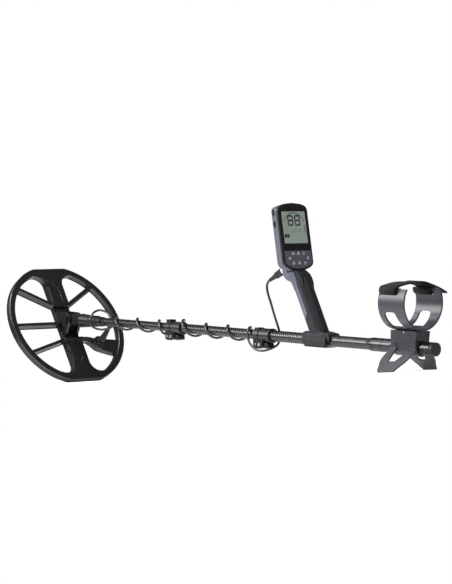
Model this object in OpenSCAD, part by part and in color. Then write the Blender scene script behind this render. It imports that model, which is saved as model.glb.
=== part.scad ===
// Walk-behind search instrument: ring coil, three-piece carbon shaft, pistol grip,
// control pod and forearm cuff. Modelled standing on its two feet and the coil's heel edge.
// Shaft frame: X runs back along the shaft from the coil pivot, Y to the user's right, Z up.

/* [Coil] */
// Radius of the round coil
coil_r = 140; // [130:1:150]
// Distance from the coil centre to the flat toe and heel
coil_flat = 133.3; // [125:0.1:135]
// Height of the coil with its skid cover
coil_t = 13.6; // [12:0.1:16]
// Angle between the coil's face and the shaft
coil_tilt = 58.1; // [40:0.1:75]
// Half width of the centre bar
bar_half = 21; // [18:1:24]
// Height of the pivot above the coil's top face
pivot_h = 17; // [15:0.5:20]

/* [Shaft] */
// Length from the coil pivot to the rear end of the shaft
shaft_l = 1078; // [1070:1:1090]
// Outer diameter of the lower tube
lower_d = 17; // [16:0.5:17]
// Outer diameter of the middle tube
middle_d = 19; // [19:0.5:20]
// Outer diameter of the upper tube
upper_d = 21; // [21:0.5:22]
// Wall of the carbon tubes
wall = 0.92; // [0.9:0.01:0.95]
// Front face of the front lock
front_lock_x = 332; // [330:1:336]
// Front face of the rear lock
rear_lock_x = 602; // [600:1:606]

/* [Grip and pod] */
// Lean of the grip towards the coil
grip_lean = 28.6; // [26:0.1:31]
// Lean of the pod's face away from the user
pod_lean = 11; // [9:0.5:13]
// Width of the pod
pod_w = 74; // [70:1:76]
// Depth of the pod
pod_d = 26; // [25:1:28]

/* [Armrest] */
// Outer radius of the forearm cuff
cuff_r = 49; // [46:1:52]
// Front end of the cuff and its stand
arm_x = 982; // [978:1:984]
// Length of the cuff along the shaft
arm_l = 64; // [60:1:68]
// Distance from the shaft axis to the middle of each foot
foot_y = 56; // [50:1:60]

/* [Cable] */
// Diameter of the coil cable
cable_d = 4.5; // [4:0.1:5]

/* [Hidden] */
$fn = 72;

fit = 0.08;              // radial running clearance
gap = 0.3;               // clearance between parts that pass each other

// Where the shaft stands: it leans so that the coil's heel edge and the feet share one floor
heel_f = coil_flat + 0.5;
heel_z = -pivot_h - coil_t;
heel_x = heel_f * cos(coil_tilt) + heel_z * sin(coil_tilt);
heel_drop = heel_f * sin(coil_tilt) - heel_z * cos(coil_tilt);
foot_x = arm_x + 30;
foot_drop = 42;
lean = atan((heel_drop - foot_drop) / (foot_x - heel_x));
lift_z = heel_x * sin(lean) + heel_drop * cos(lean);
toe_f = -coil_flat + 0.5;
toe_x = (toe_f * cos(coil_tilt) + heel_z * sin(coil_tilt)) * cos(lean)
    + (-toe_f * sin(coil_tilt) + heel_z * cos(coil_tilt)) * sin(lean);
cap_r = 12.25;
rear_x = shaft_l * cos(lean) + cap_r * sin(lean);
shift_x = -(toe_x + rear_x) / 2;

module on_shaft() translate([shift_x, 0, lift_z]) rotate([0, lean, 0]) children();
module on_coil() on_shaft() rotate([0, coil_tilt, 0]) translate([0.5, 0, -pivot_h]) children();

// A round bar along the shaft, and one across it
module along(x0, x1, r) translate([x0, 0, 0]) rotate([0, 90, 0]) cylinder(h = x1 - x0, r = r);
module across(x, z, y0, y1, r) translate([x, y0, z]) rotate([-90, 0, 0]) cylinder(h = y1 - y0, r = r);
module tube(x0, x1, ro, ri) difference() { along(x0, x1, ro); along(x0 - 1, x1 + 1, ri); }
// A side profile in X and Z, given thickness from y0 to y1
module side(y0, y1) translate([0, y1, 0]) rotate([90, 0, 0]) linear_extrude(y1 - y0) children();
// A cross profile in Y and Z, given length from x0 to x1
module cross(x0, x1) translate([x0, 0, 0]) rotate([90, 0, 90]) linear_extrude(x1 - x0) children();
// A cone between two points
module cone(a, b, ra, rb) {
    d = b - a;
    translate(a) rotate([0, acos(d[2] / norm(d)), atan2(d[1], d[0])]) cylinder(h = norm(d), r1 = ra, r2 = rb);
}

// ---- cable: rings carried along the route without twist ----
function unit(v) = v / norm(v);
function heading(p, i) = unit(p[min(i + 1, len(p) - 1)] - p[max(i - 1, 0)]);
function carry(p, i = 0, u = [0.3, 0.2, 1]) = i >= len(p) ? [] :
    let (t = heading(p, i), w = unit(u - (u * t) * t)) concat([w], carry(p, i + 1, w));
module cable(p, r) {
    sides = 8;
    n = len(p);
    u = carry(p);
    rings = [for (i = [0:n - 1]) let (v = cross(heading(p, i), u[i])) for (k = [0:sides - 1])
        p[i] + r * (cos(k * 360 / sides) * u[i] + sin(k * 360 / sides) * v)];
    skin = [for (i = [0:n - 2]) for (k = [0:sides - 1]) let (a = i * sides + k, b = i * sides + (k + 1) % sides)
        each [[a, a + sides, b], [b, a + sides, b + sides]]];
    ends = [[for (k = [0:sides - 1]) k], [for (k = [sides - 1:-1:0]) (n - 1) * sides + k]];
    polyhedron(points = rings, faces = concat(skin, ends));
}
// Turns round the shaft: the angle is 0 on top and grows towards the user's left
function turns(x0, pitch, r, from, to, step = 45) = [for (a = [from:step:to])
    [x0 + pitch * a / 360, -r * sin(a), r * cos(a)]];

// Where one length of cable hands over to the next, each end stops a hair short along a shared heading
boot_tip = [29, 79, -17];
boot_way = unit([9.1, 15, 30.1]);
lead_end = [137.8, 12.4, -0.2];
lead_way = unit([11.5, 0, 12.4]);
front_loop = [337, 18.5, 0];
front_way = unit([10, 0.2, 8]);
rear_loop = [647, 17.2, -1];
rear_way = unit([-1, 0.4, 10]);
plug_a = [638, 0, 105];
plug_b = [675, 0, 123.8];
plug_way = unit(plug_b - plug_a);
function leave(p, way) = [p + 0.2 * way, p + 3.6 * way];
function arrive(p, way) = [p - 3.6 * way, p - 0.2 * way];
lead_route = concat(leave(boot_tip, boot_way), [[34.5, 79, -6.5], [43, 70, 3], [55, 58, 10], [69, 41, 16],
    [82, 23, 20], [92, 4, 23], [98, -15, 18.5], [101, -26, 5], [105, -23, -9.5], [113, -8, -16],
    [125, 8, -12.5]], arrive(lead_end, lead_way));
lower_wrap_route = concat(leave(lead_end, lead_way), turns(156, 72, 12.4, -45, 810),
    [[322, -10, -10], [325.5, 0, -15], [327.5, 10, -15], [330, 16.5, -8.5]], arrive(front_loop, front_way));
middle_wrap_route = concat(leave(front_loop, front_way), [[350, 17.5, 6.5], [363, 13.5, 11.5], [373, 6, 16],
    [380, -3, 16.5], [388, -12, 11]], turns(382, 66.5, 13.2, 90, 1080),
    [[588, -11.5, 9], [592, -15.5, -2], [598, -17, -13], [608, -17.5, -22], [621, -17, -27.5],
    [633, -15, -28.5], [642, -9.5, -26.5], [648, 1, -22], [650, 11, -15.5]], arrive(rear_loop, rear_way));
tail_route = concat(leave(rear_loop, rear_way), [[645.8, 16.8, 10], [644.5, 13, 22], [642.5, 7, 40], [639, 2, 61],
    [632.5, 0, 79], [629.5, 0, 91], [630.8, 0, 98.6]], arrive(plug_a, plug_way));

// ---- coil ----
module coil_outline(r, flat) intersection() { circle(r); square([2 * flat, 2 * r + 2], center = true); }
rim_r = coil_r - 1.6;
rim_in = coil_r - 13.5;
skid_t = 2.1;
shell_t = coil_t - skid_t;
fan_r = 24;
fan_y = bar_half + fan_r;
fan_f = sqrt(pow(rim_in - fan_r, 2) - pow(fan_y, 2));
spokes = [[[-44, 18], [-87, 94.3]], [[-44, -18], [-87, -94.3]], [[-1, -18], [-1, -128.3]],
    [[-1, 18], [-1, 128.3]], [[37, -18], [62.6, -112]]];
floor_z = -6;
toe_end = -41;
heel_end = 35;
plate_edge = [[35, 18], [35, 33], [38, 48], [39, 56], [44, 104], [47, 123], [80, 104], [74, 85], [67, 66],
    [61, 53], [51, 45], [44, 36], [43, 18]];
boot_seat = [50, 64, 0];
// Raised rib from the heel rib round to the boot seat
seat_rib = [[36, 16], [36, 33], [38.8, 46], [40.5, 51.5], [45.4, 50.6], [43.6, 45], [41, 33], [41, 16]];

module spoke(a, b, top_w, base_w, h) translate([a[0], a[1], 0])
    rotate([0, 0, atan2(b[1] - a[1], b[0] - a[0])]) rotate([90, 0, 90]) linear_extrude(norm(b - a))
    polygon([[-base_w / 2, -h], [base_w / 2, -h], [top_w / 2, 0], [-top_w / 2, 0]]);
module fan_corner() difference() {
    polygon([[fan_f, bar_half - 2], [coil_flat - 3, bar_half - 2], [coil_flat - 5, 40],
        [115.5, 57], [fan_f, fan_y]]);
    translate([fan_f, fan_y]) circle(fan_r);
}
module fans() for (a = [0, 1], b = [0, 1]) mirror([a, 0, 0]) mirror([0, b, 0]) fan_corner();
module winding_path(grow) difference() {
    intersection() {
        coil_outline(coil_r - 4 + grow, coil_flat - 3.8 + grow);
        translate([-coil_r, -coil_r]) square([2 * coil_r, coil_r + 9 + grow]);
    }
    intersection() {
        coil_outline(coil_r - 9.5 - grow, coil_flat - 9.3 - grow);
        translate([-coil_r, -coil_r]) square([2 * coil_r, coil_r + 3.5 - grow]);
    }
}
// Ridges on the centre bar: a straight one on the left and one that sweeps across to the left corner
module bar_ridges() for (a = [0, 1]) mirror([a, 0, 0]) {
    translate([52, -18, 0]) cube([38, 1.6, 1]);
    linear_extrude(1) polygon([[52, 7], [80, 7], [86, 5], [92, 0], [112, -28], [119, -35], [120.5, -33.5],
        [113.5, -26.5], [93.5, 1.5], [87, 6.7], [80.5, 8.8], [52, 8.8]]);
}
module ear_profile() difference() {
    union() {
        polygon([[-33, floor_z - 1], [32, floor_z - 1], [12.6, pivot_h + 5.4], [-13.6, pivot_h + 5.4]]);
        translate([-0.5, pivot_h]) circle(14);
    }
    translate([-0.5, pivot_h]) circle(4 + fit);
}
module coil_solid() {
    intersection() {
        rotate_extrude($fn = 120) polygon([[rim_in, -shell_t], [rim_r, -shell_t], [rim_r, -3.2],
            [coil_r, -3.2], [coil_r, -1.2], [coil_r - 1.4, 0], [rim_in + 1.2, 0], [rim_in, -1.2]]);
        union() {
            translate([-coil_flat, -coil_r, -3.2]) cube([2 * coil_flat, 2 * coil_r, 4]);
            translate([1.6 - coil_flat, -coil_r, -shell_t]) cube([2 * coil_flat - 3.2, 2 * coil_r, shell_t]);
        }
    }
    for (s = [0, 1]) mirror([s, 0, 0]) translate([41, -bar_half, -shell_t])
        cube([coil_flat - 43, 2 * bar_half, shell_t]);
    translate([0, 0, -shell_t]) linear_extrude(shell_t) fans();
    for (s = spokes) spoke(s[0], s[1], 6.6, 9.6, shell_t);
    translate([toe_end - 1, -bar_half, -shell_t])
        cube([heel_end - toe_end + 8, 2 * bar_half, shell_t + floor_z]);
    translate([toe_end - 7, -bar_half - 1, -shell_t]) cube([7, 2 * bar_half + 2, shell_t + 0.8]);
    translate([heel_end, -bar_half - 2, -shell_t]) cube([6.5, 2 * bar_half + 4, shell_t + 3.6]);
    translate([0, 0, -shell_t]) linear_extrude(shell_t - 1) polygon(plate_edge);
    translate([boot_seat[0], boot_seat[1], -shell_t]) cylinder(h = shell_t + 3, r = 14.5);
    bar_ridges();
    translate([0, 0, -1.6]) linear_extrude(5.2) polygon(seat_rib);
    for (s = [0, 1]) mirror([0, s, 0]) side(12, 17) ear_profile();
}
module coil_shell() color("#2c2c30") on_coil() difference() {
    coil_solid();
    translate([0, 0, -shell_t - 1]) linear_extrude(4.8) { winding_path(0.4); mirror([0, 1]) winding_path(0.4); }
}
module skid_cover() color("#121214") on_coil() {
    translate([0, 0, -coil_t]) linear_extrude(skid_t - 0.1) {
        difference() { coil_outline(coil_r, coil_flat); circle(rim_in - 0.8); }
        square([2 * coil_flat - 4, 2 * bar_half + 1.6], center = true);
        for (s = spokes) polygon([for (e = [[0, -5.6], [1, -5.6], [1, 5.6], [0, 5.6]])
            s[e[0]] + e[1] * [-(s[1] - s[0])[1], (s[1] - s[0])[0]] / norm(s[1] - s[0])]);
        polygon(plate_edge);
        translate([boot_seat[0], boot_seat[1]]) circle(15.3);
        fans();
    }
    translate([0, 0, -coil_t]) linear_extrude(coil_t - 3.3) difference() {
        coil_outline(coil_r, coil_flat);
        coil_outline(rim_r + 0.1, coil_flat - 1.5);
    }
}
module transmit_winding() color("#b5652a") on_coil()
    translate([0, 0, -shell_t + 0.2]) linear_extrude(1.6) winding_path(0);
module receive_winding() color("#c47a3c") on_coil()
    translate([0, 0, -shell_t + 2]) linear_extrude(1.6) mirror([0, 1]) winding_path(0);
// The boot's tip, taken from the shaft frame into the coil's own
tip_f = boot_tip[0] * cos(coil_tilt) - boot_tip[2] * sin(coil_tilt) - 0.5;
tip_z = boot_tip[0] * sin(coil_tilt) + boot_tip[2] * cos(coil_tilt) + pivot_h;
module coil_boot() color("#161618") on_coil() {
    foot = [boot_seat[0], boot_seat[1], 9];
    translate([boot_seat[0], boot_seat[1], 3.1]) cylinder(h = 5.9, r1 = 11, r2 = 8.5);
    difference() {
        cone(foot - [0, 0, 3], [tip_f, boot_tip[1], tip_z], 8, 3.4);
        translate([boot_seat[0], boot_seat[1], -7]) cylinder(h = 10.1, r = 30);
    }
}
module coil_lead() color("#1b1b1d") on_shaft() cable(lead_route, cable_d / 2);

// ---- lower shaft ----
lower_end = 540;
yoke_half = 11.6;
module yoke() color("#1d1d20") on_shaft() difference() {
    union() {
        across(0, 0, -yoke_half, yoke_half, 11);
        translate([0, -yoke_half, -10]) cube([44, 2 * yoke_half, 20]);
        translate([40, 0, 0]) rotate([0, 90, 0]) cylinder(h = 30, r1 = 13.5, r2 = 11.4);
        along(70, 96, 10.9);
        for (x = [74:6:92]) along(x, x + 2.4, 11.5);
        along(96, 110, 10);
    }
    across(0, 0, -20, 20, 4 + fit);
    along(56, 111, lower_d / 2 + 0.04);
    translate([-12, -3, -14]) cube([36, 6, 28]);
}
module pivot_washers() color("#3a3a3a") on_shaft() for (s = [0, 1]) mirror([0, s, 0]) difference() {
    across(0, 0, yoke_half + 0.05, 11.95, 9.5);
    across(0, 0, 0, 20, 4 + fit);
}
module pivot_bolt() color("#26262a") on_shaft() {
    across(0, 0, -18, 30, 4);
    across(0, 0, -21.5, -17.2, 8.5);
}
module hand_nut() color("#1a1a1c") on_shaft() difference() {
    union() {
        across(0, 0, 17.3, 22, 10.5);
        across(0, 0, 22, 32, 8);
        for (a = [0:60:300]) translate([0, 22, 0]) rotate([0, a, 0]) translate([8, 0, 0])
            rotate([-90, 0, 0]) cylinder(h = 10, r = 2.6);
    }
    across(0, 0, 17, 30.5, 4.03);
}
module lower_tube() color("#2a2a2c") on_shaft() tube(57, lower_end, lower_d / 2, lower_d / 2 - wall);
module end_plug(x, ro, ri) difference() {
    union() { along(x + 0.1, x + 2.6, ro); along(x - 16, x + 0.1, ri - 0.03); }
    along(x - 17, x + 3, 3);
}
module lower_plug() color("#1a1a1c") on_shaft() end_plug(lower_end, lower_d / 2, lower_d / 2 - wall);
module lower_wrap() color("#1b1b1d") on_shaft() cable(lower_wrap_route, cable_d / 2);

// ---- locks: a split collar, its pins and a lever that lies under it ----
lock_l = 46;
step_x = 20;             // where the larger tube starts inside a collar
lug_l = 14;
second_pin = 19;         // from the collar's front face, as the lever's pin is 8
module cam_collar(x, r_in, r_big, r_out, crest) difference() {
    pin_z = -r_out - 4.6;
    union() {
        along(x, x + lock_l, r_out);
        along(x + lock_l - 3, x + lock_l, r_out + 0.7);
        translate([x, -7, 0]) cube([lug_l - 1, 14, crest]);
        for (a = [8, second_pin]) across(x + a, pin_z, -11, 11, 7.6);
        translate([x + 8, -11, pin_z - 7.6]) cube([second_pin - 8, 22, 7.6]);
        translate([x + 0.4, -11, pin_z]) cube([second_pin + 7.2, 22, -pin_z - 5]);
    }
    along(x - 1, x + step_x, r_in + fit);
    along(x + step_x - 0.5, x + lock_l + 1, r_big + 0.04);
    difference() { along(x + lug_l, x + lug_l + 2.6, r_out + 2); along(x + lug_l - 1, x + lug_l + 4, r_out - 1.8); }
    translate([x - 1, -5.2, pin_z - 9]) cube([second_pin + 10, 10.4, 15]);
    translate([x - 1, -1, -r_out - 1]) cube([lug_l + 4, 2, 10]);
    for (a = [8, second_pin]) across(x + a, pin_z, -12, 12, 2 + fit);
}
module cam_pins(x, r_out) {
    pin_z = -r_out - 4.6;
    across(x + 8, pin_z, -11.6, 11.6, 2);
    for (a = [8, second_pin], s = [0, 1]) mirror([0, s, 0]) {
        across(x + a, pin_z, 11.15, 12.9, 3);
        across(x + a, pin_z, 6, 11.6, 2);
    }
}
module cam_lever(x, r_out) difference() {
    pin_z = -r_out - 4.6;
    union() {
        across(x + 8, pin_z, -4.9, 4.9, 5.6);
        side(-4.9, 4.9) polygon([[x + 8, pin_z - 5.6], [x + 30, pin_z - 5], [x + 30, pin_z + 3], [x + 8, pin_z + 4]]);
        side(-8, 8) polygon([[x + 27.2, -r_out - 0.9], [x + 37, -r_out - 0.9], [x + 39.5, -r_out - 3],
            [x + 40.5, -r_out - 9], [x + 37, -r_out - 11.4], [x + 32, -r_out - 9.6], [x + 27.2, -r_out - 9]]);
    }
    across(x + 8, pin_z, -6, 6, 2 + fit);
}
front_lock_r = 12.4;
rear_lock_r = 13.2;
module front_cam_collar() color("#3a3a40") on_shaft()
    cam_collar(front_lock_x, lower_d / 2, middle_d / 2, front_lock_r, 16);
module front_cam_pins() color("#cfcfd2") on_shaft() cam_pins(front_lock_x, front_lock_r);
module front_cam_lever() color("#232327") on_shaft() cam_lever(front_lock_x, front_lock_r);
module rear_cam_collar() color("#3a3a40") on_shaft()
    cam_collar(rear_lock_x, middle_d / 2, upper_d / 2, rear_lock_r, 13.8);
module rear_cam_pins() color("#cfcfd2") on_shaft() cam_pins(rear_lock_x, rear_lock_r);
module rear_cam_lever() color("#232327") on_shaft() cam_lever(rear_lock_x, rear_lock_r);

// ---- middle shaft ----
middle_end = 822;
module middle_tube() color("#2a2a2c") on_shaft()
    tube(front_lock_x + step_x, middle_end, middle_d / 2, lower_d / 2 + fit);
module middle_plug() color("#1a1a1c") on_shaft() end_plug(middle_end, middle_d / 2, lower_d / 2 + fit);
module middle_wrap() color("#1b1b1d") on_shaft() cable(middle_wrap_route, cable_d / 2);

// ---- upper shaft ----
module upper_tube() color("#2a2a2c") on_shaft()
    tube(rear_lock_x + step_x, shaft_l - 9, upper_d / 2, middle_d / 2 + fit);
sleeve_x = 926;
module sleeve_flare() color("#1c1c1f") on_shaft() difference() {
    translate([sleeve_x - 14, 0, 0]) rotate([0, 90, 0]) cylinder(h = 10, r1 = 11, r2 = 12.4);
    along(sleeve_x - 15, sleeve_x, upper_d / 2 + 0.04);
}
module rear_sleeve() color("#2c2c2f") on_shaft() difference() {
    tube(sleeve_x - 4, shaft_l - 9, cap_r, upper_d / 2 + 0.04);
    for (x = [sleeve_x, sleeve_x + 25]) difference() { along(x - 1, x + 0.6, 14); along(x - 2, x + 2, cap_r - 0.7); }
}
module end_cap() color("#151517") on_shaft() {
    along(shaft_l - 9 + 0.05, shaft_l, cap_r);
    along(shaft_l - 24, shaft_l - 9 + 0.05, middle_d / 2 + fit - 0.04);
}

// ---- grip ----
grip_x = 773.2;
grip_z = 26;
grip_top = 92;
grip_a = 33.5;
grip_b = 31;
grip_round = 10;
saddle_top = 16;
module on_grip() on_shaft() translate([grip_x, 0, grip_z]) rotate([0, -grip_lean, 0]) children();
module grip_section(inset) {
    half = grip_b / 2 - inset;
    back = (grip_a - grip_b) / 2;
    flank = grip_a / 2 - grip_round;
    translate([back, 0]) circle(half);
    translate([-flank, -half]) square([flank + back, 2 * half]);
    translate([-grip_a / 2 + inset, grip_round - grip_b / 2]) square([grip_round, grip_b - 2 * grip_round]);
    for (s = [-1, 1]) translate([-flank, s * (grip_b / 2 - grip_round)]) circle(grip_round - inset);
}
// The neck under the pod, and the narrower nose in front of it that holds the socket
neck = [[699, 118], [702, 109], [714, 103], [724, 88], [748, 88], [746.5, 103], [742.5, 112], [737, 119.5],
    [728.5, 124.5], [716, 131], [699, 134]];
nose = [[684, 121], [689, 112.5], [696, 107.5], [706, 105], [722, 100], [722, 131], [694, 136], [684, 130]];
module grip_half() difference() {
    union() {
        on_grip() translate([0, 0, -40]) linear_extrude(grip_top + 40) grip_section(0);
        on_shaft() side(-13.5, 13.5) polygon(neck);
        on_shaft() side(-9.4, 9.4) polygon(nose);
    }
    on_grip() translate([0, 0, -34]) linear_extrude(grip_top + 26) grip_section(2.4);
    on_shaft() translate([600, -50, -50]) cube([400, 100, 50 + saddle_top + 0.1]);
    on_pod() translate([-pod_d - 0.2, -60, -82.5]) cube([pod_d + 1, 120, 90]);
    socket_bore();
    on_shaft() translate([600, 0, -50]) cube([400, 60, 300]);
}
module grip_shell_left() color("#4c4d57") difference() {
    grip_half();
    on_shaft() translate([600, -0.05, -50]) cube([400, 1, 300]);
}
module grip_shell_right() color("#2b2b30") mirror([0, 1, 0]) difference() {
    grip_half();
    on_shaft() translate([600, -0.05, -50]) cube([400, 1, 300]);
}
module battery_cell() color("#3b6f4a") on_grip() {
    translate([0, 0, 4]) cylinder(h = 65, r = 9.2);
    translate([0, 0, 69]) cylinder(h = 2, r = 3);
}
saddle_half = 17;
saddle_fit = upper_d / 2 + 0.04;
module grip_saddle() color("#34343a") on_shaft() difference() {
    union() {
        side(-saddle_half + 3, saddle_half - 3) polygon([[745, 0.1], [745, 9], [748, 13], [755, saddle_top],
            [794, saddle_top], [815, 13], [818, 9], [818, 0.1]]);
        side(-saddle_half, saddle_half) polygon([[748, 0.1], [748, 6], [755, 11], [802, 11], [811, 6], [811, 0.1]]);
    }
    along(700, 900, saddle_fit);
}
module saddle_cap() color("#1c1c1f") on_shaft() difference() {
    union() {
        side(-saddle_half, saddle_half) polygon([[748, -6], [748, -0.1], [811, -0.1], [811, -6], [806, -9], [753, -9]]);
        side(-saddle_half + 5, saddle_half - 5) polygon([[745, -0.1], [745, -8], [751, -13], [808, -13],
            [815, -8], [815, -0.1]]);
    }
    along(700, 900, saddle_fit);
    for (x = [755, 803], s = [-1, 1]) translate([x, s * 13.9, -12]) cylinder(h = 5, r = 2.4);
}
module case_screws() color("#8d8d92") {
    on_shaft() for (x = [755, 803], s = [-1, 1]) translate([x, s * 13.9, -9.2]) cylinder(h = 2, r = 2.2);
    on_pod() for (y = [-29, 29], z = [-58, 34]) translate([-pod_d + 4.4, y, z]) rotate([0, -90, 0])
        cylinder(h = 2.2, r = 2.2);
}

// ---- pod: local X is towards the user, Z up its face, origin in the middle of the display ----
pod_x = 707.3;
pod_z = 206.4;
pod_top = 46.5;
pod_low = 82.3;
seam_x = -5;
rear_edge = -19;          // where the rear case starts to draw in
button_x = -14;
buttons_z = [30.8, 8.2];
module on_pod() on_shaft() translate([pod_x, 0, pod_z]) rotate([0, -pod_lean, 0]) children();
// Face outline with a crowned top and a bowed bottom, drawn in Y and Z
module pod_face(inset = 0) offset(r = -inset, $fn = 32) offset(r = 11, $fn = 32) offset(delta = -11)
    intersection() {
        translate([-pod_w / 2, -pod_low]) square([pod_w, pod_low + pod_top]);
        translate([0, pod_top - 107]) circle(107);
        union() {
            translate([0, 63 - pod_low]) circle(63);
            translate([-pod_w / 2, 63 - pod_low]) square([pod_w, pod_low]);
        }
    }
module pod_layer(x0, x1) translate([x0, 0, 0]) rotate([90, 0, 90]) linear_extrude(x1 - x0) children();
window_y = 32;
window_lo = -43;
window_hi = 34;
pad_hi = -44.5;
keys = [[-13.2, -49.5], [0, -49.5], [13.2, -49.5], [-23, -58.5], [23, -58.5], [-14.5, -68], [0, -68],
    [14.5, -68]];
key_r = 3.3;
module pad_face(inset) intersection() {
    pod_face(4 + inset);
    translate([-40, -90]) square([80, 90 + pad_hi - inset]);
}
module pod_front_case() color("#2d2e33") on_pod() difference() {
    union() {
        pod_layer(seam_x + 0.4, -1) pod_face();
        pod_layer(-1.05, 0) pod_face(0.9);
    }
    pod_layer(seam_x - 1, -2.6) pod_face(2.6);
    pod_layer(-3, 1) translate([-window_y - 0.2, window_lo - 0.2])
        square([2 * window_y + 0.4, window_hi - window_lo + 0.4]);
    pod_layer(-1.3, 1) pad_face(-0.2);
    for (k = keys) pod_layer(-3, 0) translate(k) circle(key_r + gap);
}
module pod_gasket() color("#0c0c0d") on_pod() pod_layer(seam_x - 0.35, seam_x + 0.35)
    difference() { pod_face(0.4); pod_face(2.4); }
module pod_rear_case() color("#5a5c66") on_pod() difference() {
    hull() {
        pod_layer(rear_edge, seam_x - 0.4) pod_face(0.3);
        pod_layer(-pod_d, -pod_d + 0.5) pod_face(7);
    }
    hull() {
        pod_layer(rear_edge, seam_x) pod_face(2.7);
        pod_layer(-pod_d + 2.4, -pod_d + 2.9) pod_face(9.4);
    }
    for (z = buttons_z) translate([button_x - 2.6, -pod_w / 2 - 1, z - 5.3]) cube([5.2, 4, 10.6]);
    for (y = [-29, 29], z = [-58, 34]) translate([-pod_d - 1, y, z]) rotate([0, 90, 0]) cylinder(h = 8, r = 2.5);
    translate([-pod_d - 1, 18, -20]) rotate([0, 90, 0]) cylinder(h = 8, r = 4.2);
    for (z = [10:4:30]) translate([-pod_d - 1, -10, z]) cube([8, 20, 1.6]);
}
module display_window() color("#15171a", 0.9) on_pod() translate([-2.2, -window_y, window_lo])
    cube([2, 2 * window_y, window_hi - window_lo]);
module display_module() color("#8f9b93") on_pod() {
    translate([-3.6, -29.3, -30.4]) cube([1.3, 58.6, 60.8]);
    translate([-8.4, -30.4, -32]) cube([4.8, 60.8, 64]);
}
module circuit_board() color("#1f5a35") on_pod() {
    translate([-12.2, -31, -62]) cube([1.6, 62, 96]);
    translate([-15.8, -12, -40]) cube([3.6, 14, 14]);
    translate([-14.2, 8, -44]) cube([2, 9, 9]);
}
module keypad_panel() color("#4b4c54") on_pod() difference() {
    pod_layer(-1.2, 0.3) pad_face(0);
    for (k = keys) pod_layer(-2.65, 1) translate(k) circle(key_r + gap);
}
module keypad_mat() color("#3f4046") on_pod() pod_layer(-4, -3.1) translate([-27, -71]) square([54, 26]);
module key_cap(k) color("#1c1d21") on_pod() pod_layer(-2.4, 0.9) translate(k) circle(key_r);
module key_1() key_cap(keys[0]);
module key_2() key_cap(keys[1]);
module key_3() key_cap(keys[2]);
module key_4() key_cap(keys[3]);
module key_5() key_cap(keys[4]);
module key_6() key_cap(keys[5]);
module key_7() key_cap(keys[6]);
module key_8() key_cap(keys[7]);
module edge_button(z) color("#2a2b30") on_pod()
    translate([button_x - 2.3, -pod_w / 2 - 1, z - 5]) cube([4.6, 3, 10]);
module power_button() edge_button(buttons_z[0]);
module side_button() edge_button(buttons_z[1]);
module speaker() color("#222225") on_pod() translate([-18, 0, 20]) rotate([0, -90, 0]) {
    cylinder(h = 3, r = 13);
    cylinder(h = 5, r = 9);
}
jack_r = 1.8;
module headphone_socket() color("#0f0f10") on_pod() translate([-pod_d - 0.4, 18, -20]) rotate([0, 90, 0])
    difference() { cylinder(h = 10, r = 4); translate([0, 0, -1]) cylinder(h = 10, r = jack_r); }

// ---- cable plug under the pod ----
module socket_bore() on_shaft() cone(plug_b - 1 * plug_way, plug_b + 14.1 * plug_way, 7.1, 7.1);
module coil_socket() color("#b9bcc4") on_shaft() difference() {
    cone(plug_b + 0.05 * plug_way, plug_b + 14 * plug_way, 7, 7);
    cone(plug_b - 1 * plug_way, plug_b + 8 * plug_way, 4.4, 4.4);
}
module cable_plug() color("#141416") on_shaft() {
    cone(plug_a, plug_a + 22 * plug_way, 3.2, 5.2);
    cone(plug_a + 21.5 * plug_way, plug_b, 6.6, 7.4);
    cone(plug_b - plug_way, plug_b + 7 * plug_way, 4.3, 4.3);
}
module cable_tail() color("#1b1b1d") on_shaft() cable(tail_route, cable_d / 2);

// ---- armrest ----
arm_end = arm_x + arm_l;
cuff_z = 30 + cuff_r;
plate_y = 17;
plate_t = 3;
leg_slope = atan((foot_y - plate_y + plate_t) / (foot_drop - 1));
leg_l = 90;
module foot_leg() translate([0, plate_y, -1]) rotate([leg_slope, 0, 0]) side(-plate_t, 0)
    difference() {
        polygon([[arm_x, 2], [arm_end, 2], [arm_end, -8], [arm_x + 56, -33], [arm_x + 47, -49], [arm_x + 44, -55],
            [arm_x + 39, -59], [arm_x + 38, -leg_l], [arm_x + 14, -leg_l], [arm_x + 13, -60.5], [arm_x + 8, -57],
            [arm_x + 5, -51], [arm_x - 1, -36], [arm_x - 3, -26], [arm_x, -8]]);
        polygon([[arm_x + 14, 4], [arm_x + 41, 4], [arm_x + 43, -8], [arm_x + 44, -12], [arm_x + 33, -31],
            [arm_x + 20, -32], [arm_x + 16, -29], [arm_x + 15, -8]]);
    }
module armrest_stand() color("#6c6d75") difference() {
    on_shaft() difference() {
        union() {
            translate([arm_x + 2, -plate_y + 1, -1]) cube([arm_l - 4, 2 * plate_y - 2, 28]);
            translate([arm_x, -plate_y, 26]) cube([arm_l, 2 * plate_y, 3.9]);
            along(arm_x + 2, arm_end - 2, cap_r + 3);
            for (s = [0, 1]) mirror([0, s, 0]) {
                side(plate_y - plate_t, plate_y) difference() {
                    polygon([[arm_x, 29.9], [arm_end, 29.9], [arm_end - 3, -3], [arm_x, -6]]);
                    translate([arm_x + 13, -10]) square([27, 18]);
                }
                foot_leg();
            }
        }
        along(arm_x - 1, arm_end + 1, cap_r + fit);
        for (s = [0, 1]) mirror([0, s, 0]) translate([arm_x + 15, 15.4, -20]) cube([24, 5, 27]);
    }
    translate([-1500, -500, -60]) cube([3000, 1000, 60]);
}
cuff_t = 3.2;
slot_lo = 92;
slot_hi = 98.5;
cuff_top = 104;
strap_x0 = arm_x + 3;
strap_x1 = arm_x + 43;
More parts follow.
